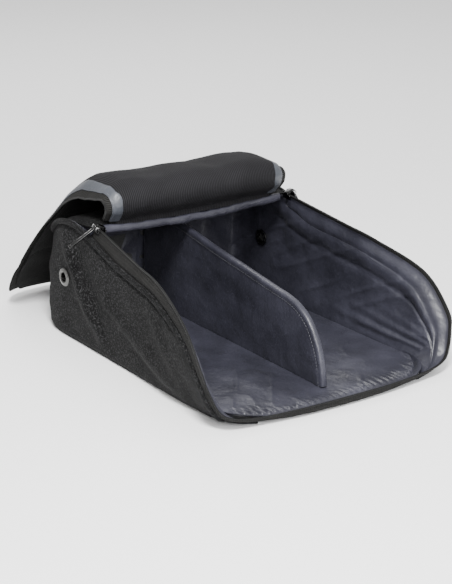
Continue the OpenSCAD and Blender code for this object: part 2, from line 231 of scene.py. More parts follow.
def sheet(name, g, thick, mat, held=None):
    """Closed sheet with the grid g as its upper side. If held is given, its area is worked out but not used.
    """
    rows, cols = g.shape[:2]
    low = g - grid_normals(g) * thick
    verts = np.concatenate([g.reshape(-1, 3), low.reshape(-1, 3)])
    u = np.cumsum(norm(np.diff(g, axis=0, prepend=g[:1]), axis=2).mean(1))
    v = np.cumsum(norm(np.diff(g, axis=1, prepend=g[:, :1]), axis=2).mean(0))
    uv = pairs(u, v)
    i, j = np.meshgrid(np.arange(rows - 1), np.arange(cols - 1), indexing="ij")
    a = (i * cols + j).ravel()
    half = rows * cols
    top = np.stack([a, a + cols, a + cols + 1, a + 1], 1)
    bottom = np.stack([a, a + 1, a + cols + 1, a + cols], 1) + half
    rim = np.concatenate([np.arange(cols), np.arange(1, rows) * cols + cols - 1,
                          (rows - 1) * cols + np.arange(cols - 2, -1, -1), np.arange(rows - 2, 0, -1) * cols])
    nxt = np.roll(rim, -1)
    side = np.stack([rim, nxt, nxt + half, rim + half], 1)
    faces = np.concatenate([top, bottom, side]).tolist()
    obj = new_piece(name, verts, faces, mat, np.concatenate([uv, uv]))
    if held:
        a, b, c, d = g[:-1, :-1], g[1:, :-1], g[1:, 1:], g[:-1, 1:]
        area = float(norm(np.cross(c - a, d - b), axis=-1).sum()) / 2
    return obj


def sweep(name, path, profile, mat, up=(0, 0, 1), scale=None):
    """Closed solid that a profile (side, up) makes along a path."""
    path = np.asarray(path, float)
    profile = np.asarray(profile, float)
    t = tangents(path)
    a = unit(np.cross(t, np.asarray(up, float)))
    b = np.cross(a, t)
    k = len(profile)
    size = np.ones(len(path)) if scale is None else scale
    rings = (a[:, None] * profile[None, :, :1] + b[:, None] * profile[None, :, 1:]) * size[:, None, None]
    verts = (path[:, None] + rings).reshape(-1, 3)
    i, j = np.meshgrid(np.arange(len(path) - 1), np.arange(k), indexing="ij")
    p, q = (i * k + j).ravel(), (i * k + (j + 1) % k).ravel()
    faces = np.stack([p, q, q + k, p + k], 1).tolist()
    faces += [list(range(k))[::-1], list(range(len(verts) - k, len(verts)))]
    return new_piece(name, verts, faces, mat, pairs(distances(path), distances(profile)))


def round_profile(rx, rz, sides=14, power=1.0):
    a = np.linspace(0, 2 * math.pi, sides, endpoint=False)
    c, s = np.cos(a), np.sin(a)
    return np.stack([rx * np.sign(c) * np.abs(c) ** power, rz * np.sign(s) * np.abs(s) ** power], 1)


def capsule(length, width, height, rings=5, sides=8):
    """Rounded bead along x."""
    verts, faces = [], []
    for i in range(rings):
        a = math.pi * (i + 0.5) / rings
        x, r = -math.cos(a) * length / 2, math.sin(a) ** 0.6
        for k in range(sides):
            b = 2 * math.pi * k / sides
            verts.append([x, math.cos(b) * width / 2 * r, math.sin(b) * height / 2 * r])
    for i in range(rings - 1):
        for k in range(sides):
            p, q = i * sides + k, i * sides + (k + 1) % sides
            faces.append([p, q, q + sides, p + sides])
    faces += [list(range(sides))[::-1], list(range((rings - 1) * sides, rings * sides))]
    return np.array(verts), faces


STITCH = capsule(2.2, 0.45, 0.4, 4, 6)
TOOTH = capsule(2.6, 1.0, 1.5)
TOOTH_PITCH = 1.5


def repeated(name, shape, centres, xs, zs, mat):
    """One mesh of many copies of a shape, each at a centre with its own x and z directions."""
    verts, faces = shape
    xs = unit(np.asarray(xs, float))
    ys = unit(np.cross(zs, xs))
    zs = np.cross(xs, ys)
    world = (centres[:, None] + xs[:, None] * verts[None, :, :1] + ys[:, None] * verts[None, :, 1:2]
             + zs[:, None] * verts[None, :, 2:])
    n = len(verts)
    all_faces = [[v + k * n for v in f] for k in range(len(centres)) for f in faces]
    return new_piece(name, world.reshape(-1, 3), all_faces, mat)


def even_path(path, step):
    """Points at even steps along a path."""
    d = distances(path)
    at = np.arange(step / 2, d[-1], step)
    return np.stack([np.interp(at, d, path[:, k]) for k in range(3)], 1)


def flipped(g):
    """The same points on the other side of the bag, in reversed order so that normals still point out."""
    return (g * MIRROR)[::-1]


def fixed(obj, body, *nodes, slot):
    """Fixes a piece to a body, in place of the CAD nodes that it stands for."""
    if nodes:
        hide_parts(*nodes)
    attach(obj, body)


def tray_piece(obj, *nodes, slot):
    fixed(obj, "tray", *nodes, slot=slot)


def padded_piece(obj, fill, *nodes, slot):
    tray_piece(obj, *nodes, slot=slot)


# ---- camera, floor and light

def look(location, target):
    return (Vector(target) - Vector(location)).to_track_quat("-Z", "Y").to_euler()


CAMERA_AZ, CAMERA_EL = math.radians(34.38), math.radians(18.84)
CAMERA_AT = Vector((-0.8628, -1.2520, 0.5750))
CAMERA_LENS = 100.35


def make_camera():
    data = bpy.data.cameras.new("camera")
    data.lens = CAMERA_LENS
    data.sensor_width = 36
    data.sensor_fit = "AUTO"
    data.clip_start, data.clip_end = 0.05, 50
    cam = new_object("camera", data)
    ahead = Vector((math.sin(CAMERA_AZ) * math.cos(CAMERA_EL), math.cos(CAMERA_AZ) * math.cos(CAMERA_EL),
                    -math.sin(CAMERA_EL)))
    cam.location = CAMERA_AT
    cam.rotation_euler = ahead.to_track_quat("-Z", "Y").to_euler()
    bpy.context.scene.camera = cam


def make_stage():
    mesh = bpy.data.meshes.new("floor")
    s, z = 6.0, -0.0004
    mesh.from_pydata([(-s, -s, z), (s, -s, z), (s, s, z), (-s, s, z)], [], [(0, 1, 2, 3)])
    white = Nodes("floor_white")
    white.set(Base_Color=rgb(0.95), Roughness=0.9)
    mesh.materials.append(white.mat)
    new_object("floor", mesh)


def make_light(name, location, target, size, power):
    data = bpy.data.lights.new(name, "AREA")
    data.shape = "DISK"
    data.size = size
    data.energy = power
    lamp = new_object(name, data)
    lamp.location = location
    lamp.rotation_euler = look(location, target)


def make_lights():
    world = bpy.data.worlds.new("studio")
    world.use_nodes = True
    world.node_tree.nodes["Background"].inputs["Color"].default_value = (1, 1, 1, 1)
    world.node_tree.nodes["Background"].inputs["Strength"].default_value = 1.0
    bpy.context.scene.world = world
    make_light("key", (-0.6, -0.9, 1.5), (0, 0, 0.05), 0.45, 62)
    make_light("fill", (-0.5, -1.5, 0.8), (0, 0, 0.1), 0.9, 24)
    make_light("back", (0.5, 1.4, 1.4), (0, 0, 0.05), 0.9, 11)


# ---- materials

WAVE_LENGTH = 0.314  # of Blender's wave texture at scale 1

class Nodes:
    """Short hand for building one material's nodes."""

    def __init__(self, name):
        self.mat = bpy.data.materials.new(name)
        self.mat.use_nodes = True
        self.tree = self.mat.node_tree
        self.shader = self.tree.nodes["Principled BSDF"]

    def plug(self, socket, value):
        if isinstance(value, bpy.types.NodeSocket):
            self.tree.links.new(value, socket)
        else:
            socket.default_value = value

    def add(self, kind, props=None, **inputs):
        """New node; an input is given by its name, or by its number as i0, i1 and so on."""
        node = self.tree.nodes.new(kind)
        for key, value in (props or {}).items():
            setattr(node, key, value)
        for key, value in inputs.items():
            self.plug(node.inputs[int(key[1:]) if key[1:].isdigit() else key.replace("_", " ")], value)
        return node.outputs[0]

    def math(self, operation, a, b):
        return self.add("ShaderNodeMath", {"operation": operation}, i0=a, i1=b)

    def mapped(self, vector, scale):
        return self.add("ShaderNodeMapping", {"vector_type": "POINT"}, Vector=vector, Scale=scale)

    def uv(self, x, y):
        return self.mapped(self.tree.nodes.new("ShaderNodeUVMap").outputs[0], (x, y, 1))

    def place(self, scale):
        return self.mapped(self.tree.nodes.new("ShaderNodeTexCoord").outputs["Object"], (scale, scale, scale))

    def noise(self, vector, detail):
        return self.add("ShaderNodeTexNoise", Vector=vector, Scale=1.0, Detail=detail)

    def wave(self, direction, pitch, distortion, **inputs):
        """Bands on the cloth, a pitch apart."""
        props = {"wave_type": "BANDS", "bands_direction": direction}
        return self.add("ShaderNodeTexWave", props, Vector=self.uv(1, 1), Scale=WAVE_LENGTH / pitch,
                        Distortion=distortion, Detail=1.0, **inputs)

    def cells(self, vector, **inputs):
        return self.add("ShaderNodeTexVoronoi", {"feature": "F1"}, Vector=vector, Scale=900.0, **inputs)

    def ramp(self, value, low, high, first=(0, 0, 0, 1), second=(1, 1, 1, 1)):
        node = self.tree.nodes.new("ShaderNodeValToRGB")
        for stop, position, colour in zip(node.color_ramp.elements, (low, high), (first, second)):
            stop.position = position
            stop.color = colour
        self.plug(node.inputs[0], value)
        return node.outputs[0]

    def mix(self, factor, a, b, blend="MIX"):
        node = self.tree.nodes.new("ShaderNodeMix")
        node.data_type = "RGBA"
        node.blend_type = blend
        for index, value in ((0, factor), (6, a), (7, b)):
            self.plug(node.inputs[index], value)
        return node.outputs[2]

    def toned(self, colour, scale, detail, low, high):
        """The colour with slow changes of tone, from low to high times as bright."""
        tone = self.ramp(self.noise(self.place(scale), detail), 0.3, 0.7, rgb(low), rgb(high))
        return self.mix(1.0, colour, tone, "MULTIPLY")

    def set(self, **inputs):
        for key, value in inputs.items():
            self.plug(self.shader.inputs[key.replace("_", " ")], value)

    def rough(self, value, low, high):
        """Roughness from low to high as value goes from 0 to 1."""
        self.set(Roughness=self.add("ShaderNodeMapRange", Value=value, i3=low, i4=high))

    def bump(self, height, distance, strength, **under):
        return self.add("ShaderNodeBump", Height=height, Distance=distance, Strength=strength, **under)


def rgb(value, tint=(1, 1, 1)):
    return (value * tint[0], value * tint[1], value * tint[2], 1)


def woven(name, dark, light, speck, pitch, sheen, depth):
    """Woven polyester: threads, lighter flecks along the threads, and slow changes of tone."""
    n = Nodes(name)
    cross = n.math("MULTIPLY", *(n.wave(way, pitch, 0.6, Detail_Scale=2.0) for way in "XY"))
    along, across = 1 / (pitch * 2.6), 1 / (pitch * 0.7)
    flecks = n.math("MAXIMUM", *(n.ramp(n.noise(n.uv(*size), 1.0), 0.57, 0.68)
                                 for size in ((along, across), (across, along))))
    ground = n.mix(n.ramp(n.noise(n.place(900.0), 2.0), 0.4, 0.62), dark, light)
    colour = n.mix(n.math("MULTIPLY", flecks, 0.7), ground, speck)
    n.set(Base_Color=n.toned(colour, 28.0, 4.0, 0.82, 1.16), Roughness=0.8, Specular_IOR_Level=0.1,
          Sheen_Weight=sheen, Sheen_Roughness=0.4)
    fine = n.bump(cross, 0.00018, depth)
    n.set(Normal=n.bump(n.noise(n.place(260.0), 3.0), 0.0006, 0.35, Normal=fine))
    return n.mat


def satin(name, dark, light, roughness, sheen):
    """Taffeta with a fine diagonal twill, soft creases and a little colour change."""
    n = Nodes(name)
    twill = n.wave("DIAGONAL", 0.0006, 0.4)
    tone = n.ramp(n.noise(n.place(22.0), 4.0), 0.28, 0.72)
    thread = n.ramp(n.noise(n.uv(120, 1600), 1.0), 0.3, 0.7, rgb(0.9), rgb(1.08))
    n.set(Base_Color=n.mix(1.0, n.mix(tone, dark, light), thread, "MULTIPLY"), Sheen_Weight=sheen,
          Sheen_Roughness=0.3)
    n.rough(tone, roughness - 0.05, roughness + 0.07)
    crumple = n.bump(n.noise(n.place(48.0), 5.0), 0.0034, 0.5, Normal=n.bump(twill, 0.0001, 0.25))
    n.set(Normal=n.bump(n.noise(n.place(150.0), 3.0), 0.001, 0.45, Normal=crumple))
    return n.mat


def ribbed_mesh(name, dark, light):
    """Knitted mesh: fine ribs with rows of small holes between them. Its colour is lighter on the rib crests,
    darker in the grooves and near black in the holes: painted highlight and painted shade.
    """
    n = Nodes(name)
    ribs = n.wave("Y", 0.002, 0.3)
    holes = n.cells(n.uv(1, 1.4), Randomness=0.25)
    dots = n.ramp(holes, 0.1, 0.45)
    height = n.math("ADD", n.math("MULTIPLY", ribs, 0.8), n.math("MULTIPLY", dots, 0.4))
    # painted shade and highlight: the colour follows the ribs' height, darker in the grooves and lighter on
    # the crests
    colour = n.mix(n.ramp(ribs, 0.25, 0.85), dark, light)
    # painted shade: the holes are darkened towards near black, for the shade seen through them
    colour = n.mix(n.math("MULTIPLY", n.math("SUBTRACT", 1.0, dots), 0.6), colour, rgb(0.004))
    n.set(Base_Color=n.toned(colour, 30.0, 3.0, 0.85, 1.15), Roughness=0.75, Specular_IOR_Level=0.12)
    n.set(Normal=n.bump(height, 0.0004, 0.5))
    return n.mat


def zip_tape(name, dark, light, pitch):
    """Tape with ribs across it, its colour darker in the grooves and lighter on the crests: painted shade and
    painted highlight.
    """
    n = Nodes(name)
    ribs = n.wave("X", pitch, 0.5)
    # painted shade and highlight: the colour follows the ribs' height
    colour = n.mix(n.ramp(ribs, 0.2, 0.8), dark, light)
    n.set(Base_Color=n.toned(colour, 60.0, 3.0, 0.85, 1.15), Roughness=0.8, Specular_IOR_Level=0.12)
    n.set(Normal=n.bump(n.noise(n.uv(1500, 1500), 2.0), 0.0002, 0.4, Normal=n.bump(ribs, 0.00025, 0.7)))
    return n.mat


def plastic(name, colour, roughness):
    n = Nodes(name)
    wear = n.noise(n.place(700.0), 3.0)
    n.set(Base_Color=n.mix(n.ramp(wear, 0.45, 0.75), colour, rgb(1.6, colour)), Specular_IOR_Level=0.12)
    n.rough(wear, roughness - 0.08, roughness + 0.12)
    n.set(Normal=n.bump(wear, 0.0001, 0.3))
    return n.mat


def metal(name, colour, roughness):
    """Plated zinc: brushed a little, with fine brighter scratches and a painted highlight along its sharp
    edges.
    """
    n = Nodes(name)
    scratches = n.noise(n.mapped(n.place(1.0), (90, 900, 260)), 2.0)
    # painted highlight: the colour turns brighter where the surface is sharply convex, standing in for glints
    # on the edges
    edges = n.ramp(n.tree.nodes.new("ShaderNodeNewGeometry").outputs["Pointiness"], 0.5, 0.56)
    bright = rgb(1.9, colour)
    n.set(Base_Color=n.mix(edges, n.mix(n.ramp(scratches, 0.5, 0.95), colour, bright), bright), Metallic=1.0)
    n.rough(scratches, roughness - 0.07, roughness + 0.12)
    n.set(Normal=n.bump(scratches, 0.00004, 0.3))
    return n.mat


def foam_stuff(name, colour):
    n = Nodes(name)
    cells = n.cells(n.place(1.0))
    # painted shade: the colour is darker at the middle of each cell, where the bump makes a pit
    n.set(Base_Color=n.mix(n.ramp(cells, 0.1, 0.5), rgb(0.7, colour), colour), Roughness=0.95)
    n.set(Normal=n.bump(cells, 0.0004, 0.7))
    return n.mat


OUTER = woven("heather_outer", rgb(0.0014), rgb(0.003, (1, 1, 1.04)), rgb(0.042, (1, 1, 1.03)),
              0.0011, 0.006, 0.9)
LID_OUTER = woven("lid_outer", rgb(0.004), rgb(0.007), rgb(0.022), 0.0008, 0.015, 0.6)
LINING = satin("slate_lining", rgb(0.015, (1, 1, 1.4)), rgb(0.033, (1, 1, 1.4)), 0.38, 0.03)
SATIN = satin("grey_satin", rgb(0.03, (0.93, 1.02, 1.22)), rgb(0.055, (0.93, 1.02, 1.22)), 0.36, 0.05)
MESH = ribbed_mesh("ribbed_mesh", rgb(0.002), rgb(0.021, (1, 0.96, 1.1)))
TAPE = zip_tape("zip_tape_black", rgb(0.002, (1, 0.98, 0.94)), rgb(0.022, (1, 0.98, 0.94)), 0.0021)
WEBBING = zip_tape("webbing_black", rgb(0.006), rgb(0.018), 0.002)
COIL = plastic("nylon_coil", rgb(0.006), 0.55)
# painted light: the teeth are a lighter copy of the coil's nylon, the same plastic as the core
TEETH = plastic("nylon_coil_lit", rgb(0.014), 0.5)
THREAD = plastic("sewing_thread", rgb(0.016), 0.6)
GREY_THREAD = plastic("grey_thread", rgb(0.09, (1, 1, 1.12)), 0.6)
GUNMETAL = metal("gunmetal", rgb(0.035), 0.2)
BRIGHT = metal("bright_plate", rgb(0.4), 0.2)
RING = metal("grommet_plate", rgb(0.055, (1, 0.99, 0.96)), 0.26)
FOAM = foam_stuff("open_foam", rgb(0.03))
BOARD = plastic("stiff_board", rgb(0.04), 0.5)

# ---- tray: shapes in the frame

def wall_at(t, v):
    """Outside of the right wall: t along the wall, v from the foot at 0 to the seam at 1."""
    p = lerp(curve(FOOT, t), curve(SEAM, t), np.asarray(v)[..., None])
    out = unit(p * np.array([1, 0.2, 0]))
    return p + out * (WALL_BULGE * arch(v) * np.minimum(1, t / 3))[..., None]


def band_at(t, v):
    """The band above the right wall: v from the seam at 0 to the zip line, or the hood's edge, at 1."""
    t = np.asarray(t, float)
    seam = curve(SEAM, t)
    zip_edge = curve(ZIP, np.minimum(t, ZIP_ENDS))
    edge = np.where((t <= ZIP_ENDS)[..., None], zip_edge, seam + [0, 0, 19.0])
    return lerp(seam, edge, np.asarray(v)[..., None])


def toe_end_y(v):
    return lerp(E, E - TOE_END_LEAN, v) + WALL_BULGE * arch(v)


def crease(p, start, end, width):
    """1 on the line from start to end, falling off over width."""
    a, b = np.asarray(start, float), np.asarray(end, float)
    d = b - a
    t = np.clip(((p - a) @ d) / (d @ d), 0, 1)
    gap = norm(p - (a + t[..., None] * d), axis=-1)
    return np.exp(-(gap / width) ** 2) * arch(0.12 + 0.76 * t) ** 0.5


GROMMET = (112.0, 64.5)
GROMMET_BORE = 6.2


def bored(obj, side):
    """Cuts the grommet's hole through a wall layer."""
    at = (side * 0.122, GROMMET[0] * MM, GROMMET[1] * MM)
    bpy.ops.mesh.primitive_cylinder_add(vertices=40, radius=GROMMET_BORE * MM, depth=0.06,
                                        rotation=(0, math.pi / 2, 0), location=at)
    drill = bpy.context.object
    cut = obj.modifiers.new("hole", "BOOLEAN")
    cut.operation, cut.object, cut.solver = "DIFFERENCE", drill, "MANIFOLD"
    with bpy.context.temp_override(object=obj, active_object=obj):
        bpy.ops.object.modifier_apply(modifier="hole")
    bpy.data.objects.remove(drill)


def round_grommet(g, reach):
    """0 at the grommet, 1 from reach outwards."""
    return smooth(np.hypot(g[..., 1] - GROMMET[0], g[..., 2] - GROMMET[1]), 8, reach)


# Creases pressed into the outer walls: height, start, end and width.
LEFT_CREASES = [(5.5, (122, 118, 112), (123, 42, 22), 10), (-3.4, (122, 94, 104), (123, 16, 24), 10),
                (4.4, (122, 30, 60), (123, -110, 12), 11), (-2.4, (122, 20, 46), (123, -100, 2), 8),
                (3.4, (131, -60, 78), (122, -118, 22), 9)]
RIGHT_CREASES = [(2.0, (122, 90, 105), (123, 10, 22), 10), (1.5, (128, -30, 80), (122, -115, 16), 10)]


def outer_wall(side, label):
    left = side < 0
    t, v = spread((0, WALL_ENDS, 220), (0, 1.06, 64))
    low = wall_at(t, np.minimum(v, 1))
    g = np.where((v <= 1)[..., None], low, band_at(t, np.clip((v - 1) * 2.2, 0, 0.13)))
    seed = 11 if left else 57
    mid = arch(v) ** 0.5
    flex = np.minimum(1, t / 2.5)
    h = 1.5 * fbm(g, (70, 70, 45), seed, 3) * mid * flex
    slant = g @ np.array([[0.3, 0.2, 0], [0.1, 0.85, 0.5], [0, -0.5, 0.85]])
    h = h + 1.5 * (ridges(slant, (60, 90, 26), seed + 9) - 0.3) * mid * flex
    h = h + 0.25 * fbm(g, 9, seed + 4, 2) * mid
    for height, start, end, width in LEFT_CREASES if left else RIGHT_CREASES:
        h = h + height * crease(g, start, end, width) * mid
    h = h - 2.2 * smooth(v, 0.06, 0.0) * (1 - 0.5 * smooth(t, 2, 0))
    h = h - 1.3 * bump_at(v, 1.0, 0.018) - 1.6 * smooth(v, 1.0, 1.05)
    h = np.maximum(h, -FABRIC_T + 0.5 - 2.5 * (v > 0.97) - 1.5 * (v < 0.05)) * round_grommet(g, 24)
    g = facing(g + outward(g) * h[..., None], (1, 0, 0))
    if left:
        g = flipped(g)
    obj = sheet(label + "_wall_cover", g, FABRIC_T, OUTER)
    bored(obj, side)
    padded_piece(obj, 0.4, label + "_wall_fabric", slot="outer_fabric")


def hood_at(u, v):
    p = curve(HOOD_EDGE, v * (len(HOOD_EDGE) - 1))
    rise = lerp(-5.0, 2.5, np.minimum(1, 3 * v))
    flat = 1 - u**2
    return np.stack([u * p[..., 0], p[..., 1] + 1.5 * v * flat, p[..., 2] + rise * flat], -1)


def hood_cover():
    u, v = spread((-1, 1, 110), (0, 1, 60))
    g = hood_at(u, v)
    edge = smooth(np.abs(u), 0.93, 1.0)
    h = 1.3 * fbm(g, (60, 45, 60), 81, 3) + 0.9 * (ridges(g, (34, 70, 60), 83) - 0.3)
    h = np.maximum(h * (1 - edge) * (1 - smooth(v, 0.9, 1)), -0.7)
    g = g + np.array([0, 0, 1]) * h[..., None]
    g[..., 0] += np.sign(u) * edge * 3.0
    g[..., 2] -= edge * 2.6 + smooth(v, 0.9, 1.0) * 0.6
    g[..., 1] += smooth(v, 0.9, 1.0) * 3.0
    padded_piece(sheet("hood_cover", g, FABRIC_T, OUTER), 0.45, "hood_fabric", slot="outer_fabric")


def toe_end_cover():
    half = W - 36.5
    x, v = spread((half, -half, 100), (0, 1.03, 44))
    g = np.stack([x, toe_end_y(v), TOE_END_Z * v], -1)
    mid = arch(v) ** 0.5 * smooth(half - np.abs(x), 0, 14)
    h = 1.0 * fbm(g, (60, 60, 40), 91, 3) + 0.9 * (ridges(g, (26, 60, 90), 94) - 0.3)
    g[..., 1] += np.maximum(h * mid, -0.7) - 2.0 * smooth(v, 0.05, 0) - 1.2 * bump_at(v, 1.0, 0.02)
    obj = sheet("toe_end_cover", facing(g, (0, 1, 0)), FABRIC_T, OUTER)
    padded_piece(obj, 0.4, "toe_end_fabric", slot="outer_fabric")


def piping_line():
    t = np.linspace(1.7, WALL_ENDS, 190)
    above = curve(SEAM, t) + [0, 0, 3.8]
    right = np.where((t <= ZIP_ENDS)[:, None], band_at(t, np.full_like(t, 0.2)), above)
    right = lerp(above, right, smooth(t, 9.6, 8.4)[:, None])
    back = np.linspace(right[-1], right[-1] * MIRROR, 60)[1:-1]
    left = right[::-1] * MIRROR
    return np.concatenate([right, back, left])


def edge_piping():
    path = piping_line()
    path = path + np.stack([noise(path, 30, 5), noise(path, 30, 6), noise(path, 30, 7)], -1) * 0.25
    swell = 1 + 0.04 * noise(path, 14, 8)
    # the piping gives way under the right pull
    away = norm(path - (SLIDER_AT + DOWN * 14), axis=1)
    path = path - OUT * 1.5 * np.exp(-(away / 12) ** 2)[:, None]
    swell[:6] *= np.linspace(0.3, 1, 6)
    swell[-6:] *= np.linspace(1, 0.3, 6)
    obj = sweep("edge_piping", path, round_profile(PIPING_R, PIPING_R, 16), OUTER, scale=swell)
    tray_piece(obj, "left_piping", "right_piping", "toe_end_piping", slot="outer_fabric")


def ring_line(v):
    """The band between piping and zip, all round the mouth, at height v."""
    seam, edge = FRONT_SEAM + SEAM[:ZIP_ENDS + 1], FRONT_ZIP + ZIP
    t = np.linspace(0, ZIP_ENDS + 2, 330)
    right = lerp(curve(seam, t), curve(edge, t), v)
    return np.concatenate([right[:0:-1] * MIRROR, right])


def tray_zip():
    v = np.linspace(0.03, 0.97, 12)
    g = np.stack([ring_line(height) for height in v], 1)
    out = grid_normals(g)
    if np.mean(np.sum(out * (g - g.mean((0, 1))), -1)) < 0:
        g, v = g[:, ::-1], v[::-1]
        out = grid_normals(g)
    # the tape dips behind the piping and stands a little proud in the middle
    lift = -1.6 * smooth(v, 0.42, 0.26) + 0.35 * arch(v) + 0.25 * noise(g, 16, 21)
    tape = sheet("tray_tape", g + out * lift[..., None], 0.9, TAPE, held="stretched")
    tray_piece(tape, "tray_zip_tape", slot="zip_tape")
    edge = ring_line(0.985)
    core = sweep("tray_coil_core", edge, round_profile(0.8, 0.8, 8), COIL)
    tray_piece(core, "tray_zip_coil", slot="zip_coil")
    at = even_path(edge, TOOTH_PITCH)
    up = np.tile([0.0, 0.0, 1.0], (len(at), 1))
    teeth = repeated("tray_coil_teeth", TOOTH, at, np.cross(tangents(at), up), up, TEETH)
    tray_piece(teeth, slot="zip_coil")


def seam_stitches():
    """Stitches along both sides of the zip tape."""
    for label, v in (("low", 0.47), ("high", 0.8)):
        line, above = even_path(ring_line(v), 3.4), even_path(ring_line(v + 0.1), 3.4)
        n = min(len(line), len(above))
        t = tangents(line)[:n]
        line = line[:n]
        out = unit(np.cross(t, unit(above[:n] - line)))
        out = np.where((np.sum(out * (line - [0, -40, 40]), -1) < 0)[:, None], -out, out)
        stitch = capsule(2.3, 0.5, 0.45, 4, 6)
        obj = repeated("tape_stitches_" + label, stitch, line + out * 0.55, t, out, THREAD)
        tray_piece(obj, slot="zip_tape")


def stitch_row(name, line, away):
    """Grey stitches along a line on the tray, with away pointing out of the cloth."""
    out = np.tile(np.array(away, float), (len(line), 1))
    tray_piece(repeated(name, STITCH, line, tangents(line), out, GREY_THREAD), slot="satin_binding")


def lining_wall(side, label):
    left = side < 0
    t, v = spread((0.12, WALL_ENDS - 1.1, 230), (0.0, 1.0, 80))
    split = 0.86
    low = wall_at(t, 0.04 + 0.96 * np.minimum(v / split, 1))
    reach = np.where(t <= ZIP_ENDS, 0.8, 0.35)
    high = band_at(t, np.clip((v - split) / (1 - split), 0, 1) * reach)
    g = np.where((v <= split)[..., None], low, high)
    short = smooth(t, 2.6, 0.4)
    depth = lerp(WALL_T + 0.2, 1.0, smooth(v, 0.9, 1.0))
    depth = lerp(depth, np.minimum(depth, 2.2), short)
    seed = 131 if left else 177
    soft = arch(v / 0.97) ** 0.6 * (1 - 0.6 * short)
    h = 1.0 + 1.3 * fbm(g, (55, 42, 40), seed, 3)
    h = h + 3.6 * bump_at(v, 0.8, 0.08) * (1 + 0.3 * noise(g, 40, seed + 5)) * (1 - short)
    h = h - 1.6 * bump_at(v, 0.67, 0.03) * (1 - short)
    pleats = np.stack([t * 24 + 8 * noise(g, 60, seed + 1), v * 40, 0 * v], -1)
    h = h + 1.5 * np.maximum(0, noise(pleats, (9, 60, 9), seed + 2)) * bump_at(v, 0.74, 0.2)
    slant = g @ np.array([[1, 0, 0], [0, 0.9, 0.42], [0, -0.42, 0.9]])
    h = h + 2.5 * (ridges(slant, (80, 95, 15), seed + 3) - 0.25) * (1 - 0.3 * short)
    # folds that fan out from the heel end
    for k, (near, far) in enumerate(((34, 66), (27, 50), (19, 36), (12, 22))):
        h = h + 2.8 * crease(g, (132 - k, -152 + 3 * k, near), (121, -40 + 14 * k, far), 3.6)
        h = h - 1.8 * crease(g, (132 - k, -150 + 3 * k, near - 4), (121, -45 + 14 * k, far - 8), 3.0)
    h = lerp(1.2, np.maximum(h * soft, 0.0), round_grommet(g, 26))
    g = g - outward(g) * (depth + h)[..., None]
    g[..., 2] = np.maximum(g[..., 2], 2.0)
    g = facing(g, (-1, 0, 0))
    if left:
        g = flipped(g)
    obj = sheet("lining_" + label, g, LINING_T, LINING, held="stretched")
    bored(obj, side)
    tray_piece(obj, label + "_wall_lining", slot="lining")


def lining_end():
    half = W - 26.0
    x, v = spread((-half, half, 120), (0, 1, 50))
    y = toe_end_y(v) - WALL_T - 0.3
    y = y - 26 * smooth(np.abs(x), half - 34, half + 4) ** 1.6
    g = np.stack([x, y, 4 + 88 * v], -1)
    h = 1.0 * fbm(g, (34, 40, 60), 211, 3) + 2.0 * (ridges(g, (20, 60, 120), 214) - 0.2)
    h = h * smooth(half - np.abs(x), 0, 10)
    g[..., 1] -= np.maximum(h, -0.2) + 0.2
    obj = sheet("lining_toe_end", facing(g, (0, -1, 0)), LINING_T, LINING, held="stretched")
    tray_piece(obj, "toe_end_lining", slot="lining")


def lining_hood():
    u, v = spread((-1, 1, 60), (0.015, 1, 40))
    g = hood_at(u, v)
    g[..., 2] -= 5.2 - 0.4 * fbm(g, 30, 231, 2)
    g[..., 0] *= 0.985
    g = g[:, ::-1]
    tray_piece(sheet("lining_hood", g, 0.6, LINING, held="stretched"), "hood_lining", slot="lining")


FLOOR_FRONT = [[0, -188.2], [50, -186.6], [84, -182.6], [92, -178], [100, -172], [106, -165.5], [112, -157],
               [116, -147], [118.5, -128]]
FLOOR_BACK = [[0, 168], [86, 167.5], [99, 164], [110, 155], [118.5, 132]]


def lining_floor():
    a = np.linspace(-1, 1, 230)
    # rows and columns lie closer together towards the edges
    a = np.sign(a) * (1 - (1 - np.abs(a)) ** 1.5)
    u, v = np.meshgrid(a, np.linspace(0, 1, 190) ** 1.15, indexing="ij")
    x = 118.4 * u
    front = np.interp(np.abs(x), *np.array(FLOOR_FRONT).T)
    back = np.interp(np.abs(x), *np.array(FLOOR_BACK).T)
    y = lerp(front, back, v)
    near = y - front
    z = 5.6 + (2.2 + 1.4 * smooth(np.abs(x), 78, 92)) * smooth(near, 9, 0)
    g = np.stack([x, y, z], -1)
    flat_x = np.stack([x, 0 * x, 0 * x], -1)
    gather = np.sin(x / 7.0 * 2 * np.pi + 3.0 * noise(flat_x, 30, 301)) * 0.5 + 0.5
    reach = 30 + 12 * noise(flat_x, 9, 303)
    zone = smooth(near, 9.4, 12.5) * smooth(near, reach, 13)
    g[..., 2] += 2.3 * gather ** 1.3 * zone * np.clip(0.8 + 0.5 * noise(flat_x, 16, 302), 0.3, 1.3)
    g[..., 2] -= 1.2 * bump_at(near, 9.8, 1.2)
    g[..., 2] += 1.1 * bump_at(near, 5.0, 3.2)
    flat = smooth(near, 10, 26)
    slant = g @ np.array([[0.8, 0.6, 0], [-0.6, 0.8, 0], [0, 0, 1]])
    h = 1.0 * fbm(g, (46, 46, 60), 311, 3) + 1.0 * (ridges(slant, (17, 60, 60), 313) - 0.25)
    h = h * flat * smooth(np.abs(x), 3, 14) * smooth(118 - np.abs(x), 0, 12)
    g[..., 2] += np.maximum(h, -0.3)
    obj = sheet("lining_floor", facing(g, (0, 0, 1)), LINING_T, LINING, held="laid")
    tray_piece(obj, "floor_lining", "front_lip_lining", slot="lining")


